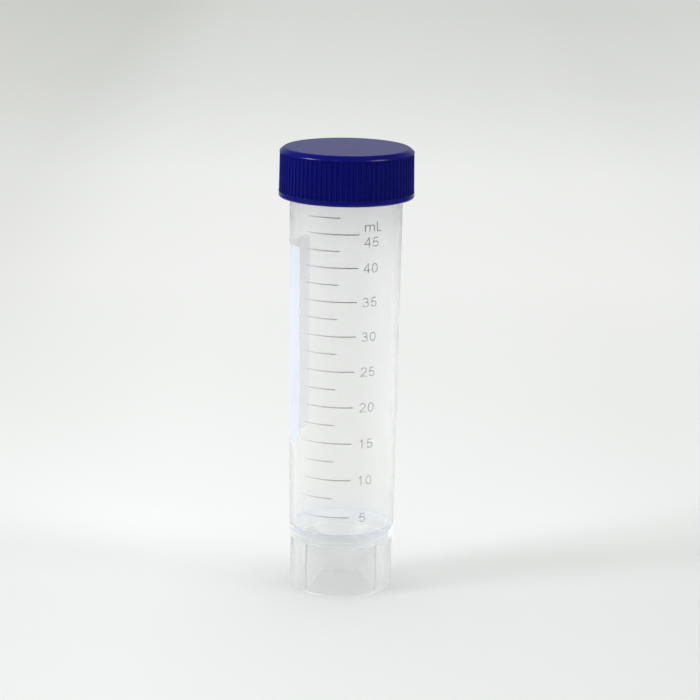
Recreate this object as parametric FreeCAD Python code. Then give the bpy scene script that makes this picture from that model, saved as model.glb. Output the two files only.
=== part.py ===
import FreeCAD, Part
import math
import os

# A 50 ml centrifuge tube that stands on its own skirt, closed by a ribbed screw cap.
# Two one-piece mouldings: the tube (body, cone, skirt and gussets) and the cap (with its
# plug seal). Millimetres and degrees; +Z up, origin on the axis in the plane the skirt
# stands on. The thread is fine detail on plain walls, so only the room for it is made here.

# --- tube body ---
TUBE_HEIGHT = 113.15        # from the foot of the skirt to the mouth
FOOT_RADIUS = 13.48         # outside, where the body meets the skirt
MOUTH_RADIUS = 14.50        # outside, at the mouth; the body tapers between the two
BODY_WALL = 0.83
MOUTH_ROUND = 0.30          # edges of the mouth's rim

# --- cone inside the skirt ---
CONE_HALF_ANGLE = 36.0
CONE_WALL = 0.85
CONE_BLEND = 2.0            # inside, where the body runs into the cone
TIP_CLEARANCE = 4.0         # from the plane it stands on to the outside of the tip
TIP_RADIUS = 4.2            # inside, where the cone would meet the tip's floor
TIP_ROUND = 2.5

# --- skirt and its gussets ---
SKIRT_HEIGHT = 14.2
SKIRT_STEP = 0.28           # how far the skirt lies in from the body
SKIRT_WALL = 1.0
SKIRT_ROUND = 0.30          # edges of the foot
ROOT_ROUND = 0.5            # under the cone, where it meets the skirt
GUSSET_COUNT = 4
GUSSET_FIRST = 45.0         # angle of the first gusset from +X
GUSSET_THICKNESS = 0.6
GUSSET_RECESS = 0.5         # from the foot up to the gusset's outer end
GUSSET_SETBACK = 1.4        # from the tip's outside corner out to where a gusset begins

# --- screw cap ---
CAP_WALL = 1.34             # behind the grooves between its ribs
CAP_DEPTH = 10.8            # from the mouth's plane down to the cap's rim
CAP_TOP = 1.80              # thickness of the flat top
CAP_DRAFT = 0.15            # how much narrower the cap is at its shoulder
BAND_HEIGHT = 1.5
BAND_ROUND = 0.45
DISC_INSET = 1.35           # from the cap's outside in to the edge of its flat disc
DISC_ROUND = 1.2
SHOULDER_DROP = 1.0         # from the disc down to the foot of the shoulder's slope
SHOULDER_LAND = 0.35        # plain edge between the slope and the ribs
SHOULDER_ROUND = 0.3

# --- ribs of the cap ---
RIB_COUNT = 80
RIB_DEPTH = 0.45
RIB_INSET = 0.06            # how far the crests lie in from the band
CREST_SHARE = 0.40          # share of the pitch that a crest takes

# --- thread, plug seal and their clearances ---
THREAD_DEPTH = 0.75         # room on the neck for its thread
THREAD_CLEARANCE = 0.15     # from the neck's thread to the cap's wall
CAP_CORNER = 0.5            # inside corner of the cap
SEAT_GAP = 0.05             # from the mouth's rim to the cap's underside
PLUG_CLEARANCE = 0.05       # from the plug to the bore
PLUG_WALL = 0.90
PLUG_DEPTH = 3.0
PLUG_LEAD = 0.5             # the plug narrows by this much at its end

ORIGIN = FreeCAD.Vector(0, 0, 0)
UP = FreeCAD.Vector(0, 0, 1)
THREAD_ROOM = MOUTH_RADIUS + THREAD_DEPTH + THREAD_CLEARANCE
CAP_RADIUS = THREAD_ROOM + CAP_WALL + RIB_DEPTH + RIB_INSET
SLOPE = math.tan(math.radians(CONE_HALF_ANGLE))
BODY_TAPER = (MOUTH_RADIUS - FOOT_RADIUS) / (TUBE_HEIGHT - SKIRT_HEIGHT)
CONE_OFFSET = CONE_WALL / math.cos(math.radians(CONE_HALF_ANGLE))
FLOOR_Z = TIP_CLEARANCE + CONE_WALL
TIP_OUT = TIP_RADIUS + CONE_OFFSET - CONE_WALL * SLOPE


def point(x, z):
    """A point of a section, which lies in the XZ plane."""
    return FreeCAD.Vector(x, 0, z)


def corner(before, at, after, radius):
    """Start, middle and end of the arc that rounds a corner, or the bare corner."""
    if radius == 0:
        return (at,)
    back = (before - at).normalize()
    ahead = (after - at).normalize()
    half = back.getAngle(ahead) / 2
    inward = (back + ahead).normalize()
    reach = radius / math.tan(half)
    centre = at + inward * (radius / math.sin(half))
    return (at + back * reach, centre - inward * radius, at + ahead * reach)


def section(corners):
    """A face in the XZ plane from (x, z, rounding radius) corners."""
    spots = [point(x, z) for x, z, _ in corners]
    arcs = []
    for i, (_, _, radius) in enumerate(corners):
        arcs.append(corner(spots[i - 1], spots[i], spots[(i + 1) % len(spots)], radius))
    edges = []
    for i, arc in enumerate(arcs):
        if len(arc) > 1:
            edges.append(Part.Arc(*arc).toShape())
        following = arcs[(i + 1) % len(arcs)]
        edges.append(Part.LineSegment(arc[-1], following[0]).toShape())
    return Part.Face(Part.Wire(edges))


def turned(corners):
    """A solid turned about the Z axis from a section's corners."""
    return section(corners).revolve(ORIGIN, UP, 360)


def body_radius(z):
    """Outside radius of the tapered body."""
    return FOOT_RADIUS + BODY_TAPER * (z - SKIRT_HEIGHT)


def bore_radius(z):
    """Inside radius of the tapered body."""
    return body_radius(z) - BODY_WALL


def cone_start():
    """Height where the bore runs into the cone, as the crossing of their two lines."""
    return FLOOR_Z + (bore_radius(FLOOR_Z) - TIP_RADIUS) / (SLOPE - BODY_TAPER)


def cone_height(radius):
    """Height at which the outside of the cone has this radius."""
    return FLOOR_Z + (radius - CONE_OFFSET - TIP_RADIUS) / SLOPE


def tube_shell():
    """Body, cone and skirt as one turned section."""
    skirt_out = FOOT_RADIUS - SKIRT_STEP
    skirt_in = skirt_out - SKIRT_WALL
    start = cone_start()
    return turned([
        (skirt_in, 0, SKIRT_ROUND),
        (skirt_out, 0, SKIRT_ROUND),
        (skirt_out, SKIRT_HEIGHT, 0),
        (body_radius(SKIRT_HEIGHT + SKIRT_STEP), SKIRT_HEIGHT + SKIRT_STEP, 0),
        (MOUTH_RADIUS, TUBE_HEIGHT, MOUTH_ROUND),
        (bore_radius(TUBE_HEIGHT), TUBE_HEIGHT, MOUTH_ROUND),
        (bore_radius(start), start, CONE_BLEND),
        (TIP_RADIUS, FLOOR_Z, TIP_ROUND),
        (0, FLOOR_Z, 0),
        (0, TIP_CLEARANCE, 0),
        (TIP_OUT, TIP_CLEARANCE, TIP_ROUND),
        (skirt_in, cone_height(skirt_in), ROOT_ROUND),
    ])


def gusset(angle):
    """A radial plate between the cone and the skirt, its edges buried in their walls."""
    outer = FOOT_RADIUS - SKIRT_STEP - SKIRT_WALL / 2
    inner = TIP_OUT + GUSSET_SETBACK
    inset = CONE_OFFSET / 2
    outline = Part.Face(Part.makePolygon([
        point(outer, GUSSET_RECESS),
        point(outer, cone_height(outer + inset)),
        point(inner - inset, cone_height(inner)),
        point(inner, cone_height(inner)),
        point(outer, GUSSET_RECESS),
    ]))
    outline.translate(FreeCAD.Vector(0, -GUSSET_THICKNESS / 2, 0))
    plate = outline.extrude(FreeCAD.Vector(0, GUSSET_THICKNESS, 0))
    plate.rotate(ORIGIN, UP, angle)
    return plate


def make_tube():
    """The whole tube, one moulding."""
    step = 360 / GUSSET_COUNT
    plates = [gusset(GUSSET_FIRST + i * step) for i in range(GUSSET_COUNT)]
    return tube_shell().fuse(plates).removeSplitter()


def polar(radius, angle, z):
    """A point at a radius and an angle in radians."""
    return FreeCAD.Vector(radius * math.cos(angle), radius * math.sin(angle), z)


def ribbed_wire(crest_radius, z):
    """One turn of the ribs' outline: rounded crests and rounded grooves by turns."""
    pitch = 2 * math.pi / RIB_COUNT
    half_crest = pitch * CREST_SHARE / 2
    flank = crest_radius - RIB_DEPTH / 2
    root = crest_radius - RIB_DEPTH
    edges = []
    for i in range(RIB_COUNT):
        mid = i * pitch
        start = polar(flank, mid - half_crest, z)
        end = polar(flank, mid + half_crest, z)
        following = polar(flank, mid + pitch - half_crest, z)
        edges.append(Part.Arc(start, polar(crest_radius, mid, z), end).toShape())
        edges.append(Part.Arc(end, polar(root, mid + pitch / 2, z), following).toShape())
    return Part.Wire(edges)


def cap_blank(rim, top):
    """The cap's outside as a full solid: smooth band, ribs, shoulder and flat disc."""
    shoulder = CAP_RADIUS - CAP_DRAFT
    ribs_from = rim + BAND_HEIGHT
    ribs_to = top - SHOULDER_DROP - SHOULDER_LAND
    band = turned([
        (0, rim, 0),
        (CAP_RADIUS, rim, BAND_ROUND),
        (CAP_RADIUS, ribs_from, 0),
        (0, ribs_from, 0),
    ])
    low = ribbed_wire(CAP_RADIUS - RIB_INSET, ribs_from)
    high = ribbed_wire(shoulder - RIB_INSET, ribs_to)
    ribs = Part.makeLoft([low, high], True, True)
    crown = turned([
        (0, ribs_to, 0),
        (shoulder, ribs_to, 0),
        (shoulder, top - SHOULDER_DROP, SHOULDER_ROUND),
        (CAP_RADIUS - DISC_INSET, top, DISC_ROUND),
        (0, top, 0),
    ])
    return band.fuse([ribs, crown])


def cap_cavity(rim):
    """What is hollow in the cap: the room round the neck and inside the plug."""
    under = TUBE_HEIGHT + SEAT_GAP
    plug_end = under - PLUG_DEPTH
    plug_out = bore_radius(plug_end) - PLUG_CLEARANCE
    plug_in = plug_out - PLUG_WALL
    return turned([
        (0, rim, 0),
        (THREAD_ROOM, rim, 0),
        (THREAD_ROOM, under, CAP_CORNER),
        (plug_out, under, 0),
        (plug_out, plug_end + PLUG_LEAD, 0),
        (plug_out - PLUG_LEAD, plug_end, 0),
        (plug_in, plug_end, 0),
        (plug_in, under, 0),
        (0, under, 0),
    ])


def make_cap():
    """The screw cap, one moulding, in place on the tube."""
    rim = TUBE_HEIGHT - CAP_DEPTH
    top = TUBE_HEIGHT + SEAT_GAP + CAP_TOP
    return cap_blank(rim, top).cut(cap_cavity(rim)).removeSplitter()


os.makedirs("parts", exist_ok=True)
make_tube().exportStep("parts/tube.step")
make_cap().exportStep("parts/screw_cap.step")
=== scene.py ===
import math

import bpy
from mathutils import Matrix, Vector


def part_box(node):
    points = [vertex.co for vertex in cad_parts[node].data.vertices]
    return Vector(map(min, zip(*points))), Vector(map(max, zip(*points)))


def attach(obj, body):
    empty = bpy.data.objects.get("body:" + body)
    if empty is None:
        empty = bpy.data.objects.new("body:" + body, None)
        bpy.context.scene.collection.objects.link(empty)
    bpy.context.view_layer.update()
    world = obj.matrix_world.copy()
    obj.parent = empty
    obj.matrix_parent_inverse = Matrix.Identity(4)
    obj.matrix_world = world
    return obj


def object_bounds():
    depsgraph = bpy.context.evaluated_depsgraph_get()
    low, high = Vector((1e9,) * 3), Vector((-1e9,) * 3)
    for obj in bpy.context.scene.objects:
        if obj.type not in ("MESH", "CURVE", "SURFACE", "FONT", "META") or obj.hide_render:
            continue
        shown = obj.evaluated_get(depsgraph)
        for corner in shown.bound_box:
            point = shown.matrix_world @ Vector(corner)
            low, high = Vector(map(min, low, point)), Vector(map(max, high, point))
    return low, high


# The looks of a 50 ml skirted centrifuge tube: milky clear polypropylene with printed
# graduations and a white writing patch, and a deep blue ribbed screw cap. Metres; the tube
# stands on Z = 0 with its axis on Z. Azimuths are degrees round that axis, 0 towards the
# camera (-Y) and growing towards +X, the picture's right. The graduations face azimuth 0.

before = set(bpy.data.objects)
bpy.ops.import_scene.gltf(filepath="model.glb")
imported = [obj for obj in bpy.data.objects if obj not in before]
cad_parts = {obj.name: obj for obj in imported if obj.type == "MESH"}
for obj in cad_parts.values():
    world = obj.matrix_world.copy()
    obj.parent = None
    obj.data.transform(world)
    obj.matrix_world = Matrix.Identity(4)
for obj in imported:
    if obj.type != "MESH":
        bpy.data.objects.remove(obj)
cad_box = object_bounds()

MM = 0.001
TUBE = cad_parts["tube"]
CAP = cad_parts["screw_cap"]
MOUTH_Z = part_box("tube")[1].z

# --- what the prints and threads fit to, as in the CAD ---
SKIRT_HEIGHT = 14.2 * MM
FOOT_RADIUS = 13.48 * MM    # outside of the body at its lower end, above the skirt
MOUTH_RADIUS = 14.50 * MM   # outside of the body at the mouth
CAP_BORE = 15.40 * MM       # inside of the cap's wall, round the neck

# --- the view ---
LENS = 137.8                # mm, on a sensor 36 mm wide
SENSOR = 36.0
PITCH = 12.93               # degrees below the horizon
ROLL = 0.94                 # degrees, the picture's top leans right
DISTANCE = 687.8 * MM       # from the camera to its aim
AIM_HEIGHT = 67.3 * MM      # this point of the axis lies beside the middle of the picture
AIM_LEFT = 1.46 * MM        # the middle of the picture is this far right of the point
AIM_DOWN = 4.90 * MM        # and this far below it

# --- lamps: name, azimuth, elevation, distance, (width, height), radiance and colour ---
WHITE = (1.0, 1.0, 1.0)
LAMPS = (
    ("left_box", -70, 30, 0.8, (0.28, 0.50), 8.6, (0.98, 1.00, 1.03)),
    ("right_box", 70, 30, 1.0, (0.35, 0.60), 4.5, WHITE),
    ("front_left_card", -23, 30, 0.8, (0.05, 0.10), 8.0, WHITE),
    ("front_right_card", 27, 30, 0.8, (0.11, 0.10), 5.0, WHITE),
)

# --- floor: places in its ramps are shares of its width and depth, the axis at 0.5, 0.409 ---
FLOOR_HALF_WIDTH = 1.6
FLOOR_HALF_DEPTH = 2.2
FLOOR_CENTRE_Y = 0.4        # it reaches further behind the tube than in front
FLOOR_BELOW = (0.82, 0.82, 0.81)    # its colour where it lights the tube from below
SIDE_SHARE = 0.6            # how much a distance to the side counts in what mirrors in it
OUT_OF_REACH = 9            # metres, past the floor's edges, so a limit that never acts

# --- clear plastic: places in its ramps are heights, as shares of this one ---
TINT_TOP = 28.0 * MM
RING_PAINTED_CAP_LIGHT = (0.93, 0.98, 1.0)   # where the cone meets the skirt, a pale cyan ring of painted light from the blue cap
ROOT_PAINTED_CAP_LIGHT = (0.83, 0.87, 1.0)   # and above it the thick root, a line of lavender, painted light from the cap too
RING_ROUGHNESS = 0.6        # added in the ring, where it hides the dark inside of the root
SKIRT_ROUGHNESS = 0.1       # added in the skirt below it
MILKINESS = 0.21            # share of plain translucency in the plastic

# --- ink ---
INK_LIFT = 0.03 * MM        # thickness of the ink on the wall
LINE_WIDTH = 0.32 * MM
LINE_SPANS = 24             # straight pieces in a line round the body
STROKE_WIDTH = 0.22 * MM    # of the numbers
ARC_STEP = 15               # degrees between the points of a number's arc
LEAST_MITRE = 0.35          # cosine past which a sharper corner is mitred no further
GRADUATION_STEP = 2.5       # ml between lines; each second one is long and has a number
GRADUATION_FIRST = 2        # the lowest line, counted in steps from 0 ml
GRADUATION_LAST = 47.5      # ml
ZERO_Z = 11.27 * MM         # the heights of the lines: a straight bore would hold 0 ml here,
ML_Z = 2.034 * MM           # it takes this much height for each ml,
ML_Z_LESS = 0.00387 * MM    # and less for each further ml, because the bore widens
LINE_START = (-45.5, -43.5)     # azimuth of the lines' left ends, lowest and highest line
LONG_END = (8.4, 14.3)
SHORT_END = (-10.5, -5.6)
LABEL_START = (16.2, 19.2)
SINGLE_FIGURE_SHIFT = 3.0   # degrees by which a number of one figure starts further right
LABEL_HEIGHT = 2.45 * MM
LABEL_STRETCH = 1.25        # the numbers are a little wider than the font below
LABEL_GAP = 0.13            # between figures, as a share of their height
LABEL_DROP = 0.10 * MM      # the numbers' middles lie this far below their lines
TOP_LABEL_DROP = 2.0 * MM   # the highest number makes room for the unit above it
UNIT_RISE = 1.90 * MM

# --- writing patch ---
PATCH_AZIMUTH = (-136.5, -54.0)
PATCH_Z = (39.5 * MM, 90.5 * MM)
PATCH_TOP_CORNER = 0.4 * MM
PATCH_LOW_CORNER = 2.2 * MM
PATCH_COLUMNS = 96
PATCH_ROWS = 12

# --- threads, one ridge on the neck and one in the cap, half a pitch apart ---
THREAD_PITCH = 3.2 * MM
THREAD_TURNS = 2.0
THREAD_START_Z = 104.9 * MM
THREAD_START = 90           # azimuth
THREAD_DEPTH = 0.72 * MM
THREAD_FOOT = 1.8 * MM      # width of the ridge at the wall
THREAD_CREST = 0.8 * MM
THREAD_SINK = 0.03 * MM     # how far its foot lies inside the wall
THREAD_FADE = 30.0          # degrees over which each end runs out into the wall
THREAD_STEP = 3.0           # degrees between the mesh's sections


def make_camera():
    """The camera at the photograph's viewing angle."""
    pitch = math.radians(PITCH)
    roll = math.radians(ROLL)
    across = Vector((1, 0, 0))
    forward = Vector((0, math.cos(pitch), -math.sin(pitch)))
    level_up = across.cross(forward)
    right = across * math.cos(roll) + level_up * math.sin(roll)
    up = level_up * math.cos(roll) - across * math.sin(roll)
    aim = Vector((0, 0, AIM_HEIGHT)) + right * AIM_LEFT - up * AIM_DOWN
    data = bpy.data.cameras.new("camera")
    data.lens = LENS
    data.sensor_width = SENSOR
    data.clip_start = 0.05
    data.clip_end = 20
    camera = bpy.data.objects.new("camera", data)
    axes = Matrix((right, up, -forward)).transposed().to_4x4()
    camera.matrix_world = Matrix.Translation(aim - forward * DISTANCE) @ axes
    bpy.context.scene.collection.objects.link(camera)
    bpy.context.scene.camera = camera


def softbox(name, azimuth, elevation, distance, size, radiance, colour):
    """A rectangular softbox aimed at the middle of the tube."""
    turn, rise = math.radians(azimuth), math.radians(elevation)
    level = Vector((math.sin(turn), -math.cos(turn), 0))
    towards = level * math.cos(rise) + Vector((0, 0, math.sin(rise)))
    data = bpy.data.lights.new(name, "AREA")
    data.shape = "RECTANGLE"
    data.size, data.size_y = size
    data.energy = math.pi * size[0] * size[1] * radiance
    data.color = colour
    lamp = bpy.data.objects.new(name, data)
    lamp.location = Vector((0, 0, MOUTH_Z / 2)) + towards * distance
    lamp.rotation_euler = (-towards).to_track_quat("-Z", "Y").to_euler()
    bpy.context.scene.collection.objects.link(lamp)


def new_material(name):
    """A material with nodes: itself, its tree and its Principled shader."""
    made = bpy.data.materials.new(name)
    made.use_nodes = True
    return made, made.node_tree, made.node_tree.nodes["Principled BSDF"]


def feed(tree, value, socket):
    """Links a socket to an output, or gives it a plain value."""
    if isinstance(value, bpy.types.NodeSocket):
        tree.links.new(value, socket)
    else:
        socket.default_value = value


def node(tree, kind, *values, **settings):
    """A node of a tree, with its settings, and its inputs fed by name or in order."""
    made = tree.nodes.new(kind)
    for key, value in settings.items():
        if hasattr(made, key):
            setattr(made, key, value)
        else:
            feed(tree, value, made.inputs[key.replace("_", " ")])
    for value, socket in zip(values, made.inputs):
        feed(tree, value, socket)
    return made


def calc(tree, operation, *values):
    """The outcome of a maths node."""
    return node(tree, "ShaderNodeMath", *values, operation=operation).outputs[0]


def vector_calc(tree, operation, *values):
    """The outcome of a vector maths node, which may be a plain value."""
    made = node(tree, "ShaderNodeVectorMath", *values, operation=operation)
    return made.outputs["Value" if operation in ("LENGTH", "DOT_PRODUCT") else "Vector"]


def ramp(tree, source, stops):
    """A colour ramp fed by source, from (place, colour) or (place, grey) stops."""
    made = node(tree, "ShaderNodeValToRGB", Fac=source)
    elements = made.color_ramp.elements
    while len(elements) < len(stops):
        elements.new(0.5)
    for element, (place, colour) in zip(elements, stops):
        element.position = place
        element.color = (*(colour if isinstance(colour, tuple) else (colour,) * 3), 1)
    return made.outputs["Color"]


def spread(tree, source, low, high, from_low=0.0, from_high=1.0):
    """The values of source, mapped from one range to another."""
    return node(tree, "ShaderNodeMapRange", Value=source, From_Min=from_low,
                From_Max=from_high, To_Min=low, To_Max=high).outputs["Result"]


def noise(tree, vector, scale, detail=2.0):
    """Soft noise over a vector output."""
    return node(tree, "ShaderNodeTexNoise", Vector=vector, Scale=scale,
                Detail=detail).outputs["Fac"]


def bumped(tree, height, strength, distance):
    """Normals that follow small bumps."""
    return node(tree, "ShaderNodeBump", Height=height, Strength=strength,
                Distance=distance).outputs[0]


def either(tree, one, other):
    """1 where any of two 0 or 1 values is 1."""
    return calc(tree, "MAXIMUM", one, other)


def chosen(tree, factor, first, second):
    """The first colour where factor is 0 and the second where it is 1."""
    made = node(tree, "ShaderNodeMix", data_type="RGBA", Factor=factor)
    colour_sockets = made.inputs[6:8]
    for colour, socket in zip((first, second), colour_sockets):
        feed(tree, (*colour, 1) if isinstance(colour, tuple) else colour, socket)
    return made.outputs[2]


def blend(tree, factor, first, second):
    """The first shader where factor is 0 and the second where it is 1."""
    return node(tree, "ShaderNodeMixShader", factor, first, second).outputs[0]


def object_place(tree):
    """The place on the object, in metres."""
    return tree.nodes.new("ShaderNodeTexCoord").outputs["Object"]


def split(tree, vector):
    """The X, Y and Z outputs of a vector."""
    return node(tree, "ShaderNodeSeparateXYZ", vector).outputs


def set_surface(tree, surface, output="Material Output"):
    """Makes a shader the surface of a material or world."""
    tree.links.new(surface, tree.nodes[output].inputs["Surface"])


def mirrored_floor(tree):
    """What mirrors from the floor, a painted reflection: pale near the tube, then dark like
    the room round a table.

    It darkens with the distance in front of the tube and, more slowly, to its sides.
    """
    here = tree.nodes.new("ShaderNodeNewGeometry").outputs["Position"]
    not_behind = vector_calc(tree, "MINIMUM", here, (OUT_OF_REACH, 0, 0))
    narrowed = vector_calc(tree, "MULTIPLY", not_behind, (SIDE_SHARE, 1, 1))
    away = vector_calc(tree, "LENGTH", narrowed)
    return ramp(tree, away, [(0.08, 0.78), (0.30, (0.06, 0.08, 0.10))])


def make_floor():
    """The pale sweep under and behind the tube, which glows by itself far back.

    It carries painted shade: it is darker in front of the tube and falls off to the sides,
    more to the left, and starts to fall just right of the tube, where it stands in for the
    tube's soft shadow. Far to the sides it glows too, for the views from there; its glow dims
    with painted falloff far back and beside the tube. Seen through the tube it is paler still,
    a painted light, less so right of the axis. What lights the tube from below is a little
    greyer than what is seen.
    """
    bpy.ops.mesh.primitive_plane_add(size=2, location=(0, FLOOR_CENTRE_Y, cad_box[0].z))
    floor = bpy.context.object
    floor.name = "floor"
    floor.scale = (FLOOR_HALF_WIDTH, FLOOR_HALF_DEPTH, 1)
    made, tree, shader = new_material("floor")
    parts = split(tree, tree.nodes.new("ShaderNodeTexCoord").outputs["Generated"])
    across, depth = parts["X"], parts["Y"]
    path = tree.nodes.new("ShaderNodeLightPath").outputs
    looked_at = either(tree, path["Is Camera Ray"], path["Is Transmission Ray"])

    # Painted shade: the floor is darker in front of the tube than behind it.
    sweep = ramp(tree, depth, [
        (0.385, (0.790, 0.805, 0.795)), (0.408, (0.805, 0.820, 0.810)),
        (0.420, (0.890, 0.908, 0.898)), (1.000, (0.890, 0.908, 0.898))])
    # Painted shade: darker to the sides, most far to the left; just right of the tube it
    # stands in for the tube's soft shadow.
    sides = ramp(tree, across, [
        (0.360, (0.66, 0.66, 0.65)), (0.416, (0.80, 0.80, 0.74)),
        (0.453, (0.90, 0.90, 0.885)), (0.469, (0.94, 0.94, 0.935)),
        (0.483, 1.00), (0.518, 0.975), (0.531, 0.94)])
    shaded = vector_calc(tree, "MULTIPLY", sweep, sides)

    # Painted light: rays through the tube see the floor behind it paler, less so right of the
    # axis, and the far glow brighter.
    behind = ramp(tree, depth, [(0.409, 0.00), (0.423, 0.34), (0.485, 0.34), (0.540, 0.20)])
    less_painted_light_right_of_axis = spread(tree, across, 1.0, 0.6, 0.500, 0.506)
    more = calc(tree, "MULTIPLY", behind, less_painted_light_right_of_axis)
    painted_light_through_tube = calc(tree, "MULTIPLY_ADD", more, path["Is Transmission Ray"], 1.0)
    lifted = node(tree, "ShaderNodeVectorMath", operation="SCALE", Vector=shaded, Scale=painted_light_through_tube)

    colour = chosen(tree, looked_at, FLOOR_BELOW, lifted.outputs[0])
    # Painted reflection: glossy rays see the floor dark away from the tube.
    colour = chosen(tree, path["Is Glossy Ray"], colour, mirrored_floor(tree))
    tree.links.new(colour, shader.inputs["Base Color"])
    shader.inputs["Roughness"].default_value = 0.9
    shader.inputs["Specular IOR Level"].default_value = 0.2

    # The far glow is the backdrop, with painted falloff: it dims far back and in bands beside
    # the tube.
    far = ramp(tree, depth, [
        (0.42, (0.92, 0.92, 0.91)), (0.56, (0.96, 0.97, 0.96)),
        (0.64, (0.82, 0.83, 0.81)), (0.75, (0.73, 0.74, 0.71))])
    beside = ramp(tree, across, [
        (0.400, 1.00), (0.430, (0.92, 0.92, 0.91)), (0.450, (0.88, 0.88, 0.87)),
        (0.468, 1.00), (0.538, 1.00), (0.552, 0.96), (0.600, 1.00)])
    dimmed = vector_calc(tree, "MULTIPLY", far, beside)
    glow = node(tree, "ShaderNodeEmission", Color=dimmed, Strength=painted_light_through_tube)
    far_back = spread(tree, depth, 0.0, 0.6, 0.42, 0.50)
    far_aside = ramp(tree, across, [(0.33, 0.7), (0.41, 0.0), (0.59, 0.0), (0.67, 0.7)])
    share = calc(tree, "MULTIPLY", either(tree, far_back, far_aside), looked_at)
    set_surface(tree, blend(tree, share, shader.outputs[0], glow.outputs[0]))
    floor.data.materials.append(made)


def make_world():
    """Even light from above and behind, dim in front, and the pale room that is seen."""
    world = bpy.data.worlds.new("world")
    world.use_nodes = True
    tree = world.node_tree
    path = tree.nodes.new("ShaderNodeLightPath").outputs
    direction = tree.nodes.new("ShaderNodeTexCoord").outputs["Generated"]
    in_front = vector_calc(tree, "DOT_PRODUCT", direction, (0, -1, 0))     # -1 behind the tube
    light = tree.nodes["Background"]
    light.inputs["Color"].default_value = (0.97, 0.97, 0.95, 1)
    tree.links.new(spread(tree, in_front, 1.27, 0.22, -1.0, 0.7), light.inputs["Strength"])
    mirrored = node(tree, "ShaderNodeBackground", Color=(0.84, 0.87, 1.0, 1),
                    Strength=spread(tree, in_front, 0.37, 0.09, -0.95, -0.6))
    room = node(tree, "ShaderNodeBackground", Color=(0.90, 0.92, 0.92, 1), Strength=0.95)
    looked_at = either(tree, path["Is Camera Ray"], path["Is Transmission Ray"])
    surface = blend(tree, path["Is Glossy Ray"], light.outputs[0], mirrored.outputs[0])
    surface = blend(tree, looked_at, surface, room.outputs[0])
    set_surface(tree, surface, "World Output")
    bpy.context.scene.world = world


def clear_material():
    """Milky clear polypropylene: hazy glass with a faint unevenness, that lets lamps through.

    The skirt is a little hazier and more cyan than the body. Where the cone meets it there is
    a pale, much hazier ring, tinted cyan, with a thin line of lavender at the ring's top; both
    tints are painted light from the blue cap piped down the wall.
    """
    made, tree, shader = new_material("clear_pp")
    shader.inputs["Transmission Weight"].default_value = 0.97
    shader.inputs["IOR"].default_value = 1.49
    place = object_place(tree)
    rise = spread(tree, split(tree, place)["Z"], 0.0, 1.0, 0.0, TINT_TOP)
    # Painted light: the cyan ring and the lavender line above it tint the plastic like light
    # from the blue cap piped down the wall.
    tint = ramp(tree, rise, [
        (0.0, (0.965, 1.0, 1.0)), (0.25, (0.985, 1.0, 1.0)), (0.42, (0.995, 1.0, 1.0)),
        (0.49, RING_PAINTED_CAP_LIGHT), (0.53, (0.93, 0.975, 1.0)), (0.555, ROOT_PAINTED_CAP_LIGHT),
        (0.585, ROOT_PAINTED_CAP_LIGHT), (0.63, (0.97, 1.0, 1.0)), (1.0, WHITE)])
    tree.links.new(tint, shader.inputs["Base Color"])
    throughout = spread(tree, noise(tree, place, 180.0, 3.0), 0.06, 0.12)
    hazier = ramp(tree, rise, [
        (0.46, SKIRT_ROUGHNESS), (0.495, RING_ROUGHNESS), (0.55, RING_ROUGHNESS), (0.6, 0.0)])
    tree.links.new(calc(tree, "ADD", throughout, hazier), shader.inputs["Roughness"])
    drawn_out = node(tree, "ShaderNodeMapping", vector_type="POINT", Vector=place,
                     Scale=(1, 1, 0.12)).outputs[0]
    waves = bumped(tree, noise(tree, drawn_out, 260.0), 0.12, 0.05 * MM)
    tree.links.new(waves, shader.inputs["Normal"])
    milk = node(tree, "ShaderNodeBsdfTranslucent", Color=(1.0, 1.0, 0.985, 1))
    hazy = blend(tree, MILKINESS, shader.outputs[0], milk.outputs[0])
    clear = node(tree, "ShaderNodeBsdfTransparent", Color=(0.91, 0.91, 0.91, 1))
    path = tree.nodes.new("ShaderNodeLightPath").outputs
    lighting = either(tree, path["Is Shadow Ray"], path["Is Diffuse Ray"])
    set_surface(tree, blend(tree, lighting, hazy, clear.outputs[0]))
    return made


def cap_material():
    """Deep blue moulded plastic with a satin grain."""
    made, tree, shader = new_material("blue_cap")
    place = object_place(tree)
    tint = ramp(tree, noise(tree, place, 120.0, 3.0), [
        (0.3, (0.0006, 0.0012, 0.142)), (0.7, (0.0010, 0.0019, 0.168))])
    tree.links.new(tint, shader.inputs["Base Color"])
    grain = noise(tree, place, 2200.0)
    tree.links.new(spread(tree, grain, 0.15, 0.25), shader.inputs["Roughness"])
    tree.links.new(bumped(tree, grain, 0.15, 0.02 * MM), shader.inputs["Normal"])
    shader.inputs["Specular IOR Level"].default_value = 0.45
    return made


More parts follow.
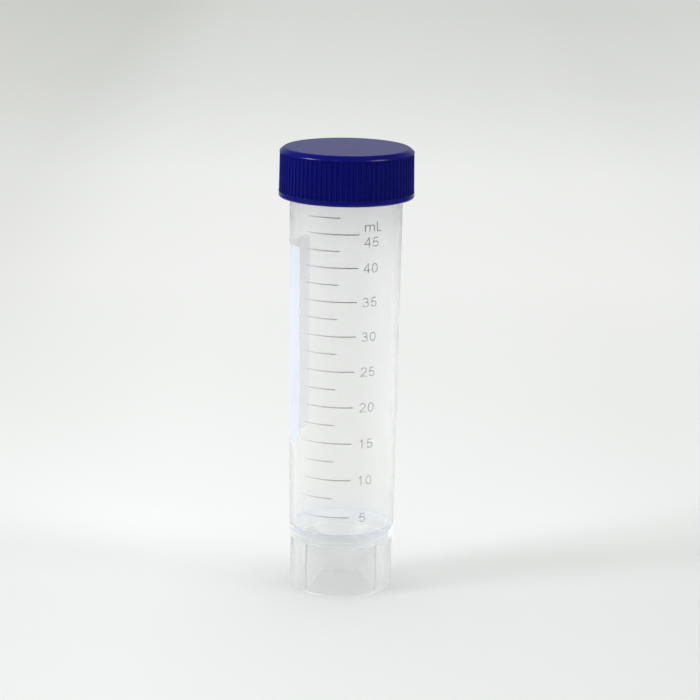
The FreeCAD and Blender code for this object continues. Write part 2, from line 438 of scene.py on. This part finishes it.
def ink_material():
    """Grey printing ink, fainter towards the lines' left ends and a little patchy throughout.
    """
    made, tree, shader = new_material("graduation_ink")
    place = object_place(tree)
    parts = split(tree, place)
    azimuth = calc(tree, "ARCTAN2", parts["X"], calc(tree, "MULTIPLY", parts["Y"], -1))
    turn = spread(tree, azimuth, 0.0, 1.0, math.radians(-45), math.radians(5))
    along = ramp(tree, turn, [(0.0, 0.15), (0.3, 0.50), (0.6, 0.80), (1.0, 1.0)])
    rise = spread(tree, parts["Z"], 0.0, 1.0, 20 * MM, 100 * MM)
    upwards = ramp(tree, rise, [(0.0, 0.56), (0.15, 0.64), (0.6, 0.66), (1.0, 0.90)])
    cover = spread(tree, noise(tree, place, 1500.0, 3.0), 0.85, 1.0, 0.35, 0.65)
    for share in (along, upwards):
        cover = calc(tree, "MULTIPLY", cover, share)
    tree.links.new(cover, shader.inputs["Alpha"])
    shade = ramp(tree, noise(tree, place, 300.0), [
        (0.3, (0.060, 0.062, 0.066)), (0.7, (0.085, 0.087, 0.090))])
    tree.links.new(shade, shader.inputs["Base Color"])
    grain = noise(tree, place, 900.0)
    tree.links.new(spread(tree, grain, 0.45, 0.65), shader.inputs["Roughness"])
    return made


def patch_material():
    """Matt white ink for writing on, slightly uneven like a screen print."""
    made, tree, shader = new_material("writing_patch")
    place = object_place(tree)
    shade = ramp(tree, noise(tree, place, 90.0, 4.0), [
        (0.3, (0.85, 0.91, 0.96)), (0.7, (0.89, 0.94, 0.99))])
    tree.links.new(shade, shader.inputs["Base Color"])
    grain = noise(tree, place, 2500.0)
    tree.links.new(spread(tree, grain, 0.55, 0.75), shader.inputs["Roughness"])
    tree.links.new(bumped(tree, grain, 0.2, 0.01 * MM), shader.inputs["Normal"])
    through = node(tree, "ShaderNodeBsdfTranslucent", Color=(0.94, 0.935, 1.0, 1))
    set_surface(tree, blend(tree, 0.45, shader.outputs[0], through.outputs[0]))
    return made


def body_radius(z):
    """Outside radius of the tapered body."""
    share = (z - SKIRT_HEIGHT) / (MOUTH_Z - SKIRT_HEIGHT)
    return FOOT_RADIUS + (MOUTH_RADIUS - FOOT_RADIUS) * share


def around(radius, azimuth, z):
    """A point at a radius, an azimuth in degrees and a height."""
    turn = math.radians(azimuth)
    return Vector((radius * math.sin(turn), -radius * math.cos(turn), z))


def on_body(azimuth, z):
    """A point of the ink's outside on the body."""
    return around(body_radius(z) + INK_LIFT, azimuth, z)


def add_strip(points, faces, one_side, other_side):
    """Quads between two rows of points."""
    first = len(points)
    count = len(one_side)
    points.extend(one_side)
    points.extend(other_side)
    for i in range(first, first + count - 1):
        faces.append((i, i + 1, i + count + 1, i + count))


def add_line(points, faces, path, width, azimuth, z):
    """A band of ink along a path of (across, up) metres from a place on the body."""
    sides = ([], [])
    for i, (across, up) in enumerate(path):
        before, after = path[max(i - 1, 0)], path[min(i + 1, len(path) - 1)]
        arriving = Vector((across - before[0], up - before[1]))
        leaving = Vector((after[0] - across, after[1] - up))
        if i == 0:
            arriving = leaving
        if i == len(path) - 1:
            leaving = arriving
        along = arriving.normalized() + leaving.normalized()
        along.normalize()
        mitre = width / 2 / max(along.dot(leaving.normalized()), LEAST_MITRE)
        for side, sign in zip(sides, (-1, 1)):
            x = across - along.y * mitre * sign
            y = up + along.x * mitre * sign
            side.append(on_body(azimuth + math.degrees(x / body_radius(z)), z + y))
    add_strip(points, faces, *sides)


def arc(x, y, wide, high, start, end):
    """Points of an ellipse's arc round (x, y), between two angles in degrees."""
    count = max(3, round(abs(end - start) / ARC_STEP))
    angles = [math.radians(start + (end - start) * i / count) for i in range(count + 1)]
    return [(x + wide * math.cos(a), y + high * math.sin(a)) for a in angles]


# Each figure is its width and its strokes, for a height of 1.
FIGURES = {
    "0": (0.60, [arc(0.30, 0.50, 0.24, 0.45, 90, 450)]),
    "1": (0.60, [[(0.12, 0.74), (0.24, 0.78), (0.33, 0.95)], [(0.34, 0.99), (0.34, 0.0)]]),
    "2": (0.60, [arc(0.30, 0.70, 0.23, 0.25, 175, -20)
                 + arc(0.82, -0.03, 0.74, 0.53, 137, 172) + [(0.07, 0.05), (0.56, 0.05)]]),
    "3": (0.60, [arc(0.29, 0.73, 0.20, 0.22, 165, -70) + [(0.25, 0.52)],
                 [(0.25, 0.52)] + arc(0.29, 0.28, 0.24, 0.24, 80, -165)]),
    "4": (0.60, [[(0.43, 0.0), (0.43, 0.97), (0.05, 0.31), (0.58, 0.31)]]),
    "5": (0.60, [[(0.51, 0.95), (0.15, 0.95), (0.09, 0.49)]
                 + arc(0.30, 0.32, 0.23, 0.27, 140, -160)]),
    "m": (0.96, [[(0.07, 0.0), (0.07, 0.72)],
                 [(0.07, 0.50)] + arc(0.28, 0.50, 0.20, 0.19, 150, 0) + [(0.48, 0.0)],
                 [(0.48, 0.50)] + arc(0.69, 0.50, 0.20, 0.19, 150, 0) + [(0.89, 0.0)]]),
    "L": (0.50, [[(0.07, 0.99), (0.07, 0.05), (0.48, 0.05)]]),
}


def add_label(points, faces, text, azimuth, z):
    """A short text of ink, from its left edge and its baseline."""
    wide = LABEL_HEIGHT * LABEL_STRETCH
    left = 0.0
    for letter in text:
        width, strokes = FIGURES[letter]
        for stroke in strokes:
            path = [((left + x) * wide, y * LABEL_HEIGHT) for x, y in stroke]
            add_line(points, faces, path, STROKE_WIDTH, azimuth, z)
        left += width + LABEL_GAP


def mesh_piece(name, points, faces, body, slot, finish):
    """A smooth mesh that rides on a body and has a finish."""
    data = bpy.data.meshes.new(name)
    data.from_pydata(points, [], faces)
    data.validate()
    data.polygons.foreach_set("use_smooth", [True] * len(data.polygons))
    data.materials.append(finish)
    piece = bpy.data.objects.new(name, data)
    bpy.context.scene.collection.objects.link(piece)
    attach(piece, body)


def line_height(ml):
    """Height of the graduation for a volume."""
    return ZERO_Z + ML_Z * ml - ML_Z_LESS * ml * ml


def make_graduations(finish):
    """Lines each 2.5 ml, numbers each 5 ml and the unit."""
    points, faces = [], []
    lowest = line_height(GRADUATION_FIRST * GRADUATION_STEP)
    highest = line_height(GRADUATION_LAST)
    for i in range(GRADUATION_FIRST, round(GRADUATION_LAST / GRADUATION_STEP) + 1):
        ml = i * GRADUATION_STEP
        z = line_height(ml)
        share = (z - lowest) / (highest - lowest)
        numbered = i % 2 == 0
        start, end, label = (low + (high - low) * share for low, high in
                             (LINE_START, LONG_END if numbered else SHORT_END, LABEL_START))
        length = math.radians(end - start) * body_radius(z)
        path = [(length * k / LINE_SPANS, 0.0) for k in range(LINE_SPANS + 1)]
        add_line(points, faces, path, LINE_WIDTH, start, z)
        if not numbered:
            continue
        text = str(round(ml))
        if len(text) == 1:
            label += SINGLE_FIGURE_SHIFT
        top = ml + GRADUATION_STEP == GRADUATION_LAST
        middle = z - (TOP_LABEL_DROP if top else LABEL_DROP)
        add_label(points, faces, text, label, middle - LABEL_HEIGHT / 2)
        if top:
            add_label(points, faces, "mL", label, z + UNIT_RISE - LABEL_HEIGHT / 2)
    mesh_piece("graduations", points, faces, "tube", "graduation_ink", finish)


def rounded_off(inward, radius):
    """How far a rounded corner cuts into an edge, at a distance inward of its other edge."""
    short = min(radius, max(0.0, radius - inward))
    return radius - math.sqrt(radius ** 2 - short ** 2)


def make_patch(finish):
    """The white writing patch, a sheet of ink with rounded corners round the body's side."""
    low, high = PATCH_Z
    middle_radius = body_radius((low + high) / 2)
    start, end = (math.radians(a) * middle_radius for a in PATCH_AZIMUTH)
    columns = []
    for i in range(PATCH_COLUMNS + 1):
        across = start + (end - start) * (1 - math.cos(math.pi * i / PATCH_COLUMNS)) / 2
        inward = min(across - start, end - across)
        low_cut = rounded_off(inward, PATCH_LOW_CORNER)
        top_cut = rounded_off(inward, PATCH_TOP_CORNER)
        azimuth = math.degrees(across / middle_radius)
        height = high - low - low_cut - top_cut
        columns.append([on_body(azimuth, low + low_cut + height * k / PATCH_ROWS)
                        for k in range(PATCH_ROWS + 1)])
    points, faces = [], []
    for one, other in zip(columns, columns[1:]):
        add_strip(points, faces, one, other)
    mesh_piece("writing_patch", points, faces, "tube", "writing_patch", finish)


def thread_ridge(wall_radius, inward, start_z):
    """Points and faces of a helical ridge on a wall, its foot just inside the wall."""
    side = -1 if inward else 1
    profile = [(-THREAD_FOOT / 2, 0.0), (-THREAD_CREST / 2, 1.0),
               (THREAD_CREST / 2, 1.0), (THREAD_FOOT / 2, 0.0)]
    steps = round(THREAD_TURNS * 360 / THREAD_STEP)
    points, faces = [], []
    for i in range(steps + 1):
        turned = i * THREAD_STEP
        middle = start_z + THREAD_PITCH * turned / 360
        to_end = min(turned, THREAD_TURNS * 360 - turned)
        share = min(1.0, to_end / THREAD_FADE)
        grown = share * share * (3 - 2 * share)
        for up, out in profile:
            z = middle + up
            height = out * THREAD_DEPTH * grown - (1 - out) * THREAD_SINK
            points.append(around(wall_radius(z) + side * height, THREAD_START - turned, z))
    count = len(profile)
    for i in range(steps):
        for k in range(count - 1):
            a = i * count + k
            quad = (a, a + 1, a + count + 1, a + count)
            faces.append(quad[::-1] if inward else quad)
    return points, faces


make_camera()
make_world()
make_floor()
for lamp in LAMPS:
    softbox(*lamp)

clear = clear_material()
blue = cap_material()
TUBE.material_slots[0].material = clear
CAP.material_slots[0].material = blue
make_graduations(ink_material())
make_patch(patch_material())
neck = thread_ridge(body_radius, False, THREAD_START_Z)
mesh_piece("neck_thread", *neck, "tube", "clear_polypropylene", clear)
inner = thread_ridge(lambda z: CAP_BORE, True, THREAD_START_Z + THREAD_PITCH / 2)
mesh_piece("cap_thread", *inner, "cap", "blue_cap", blue)

bpy.context.scene.view_settings.view_transform = "Standard"
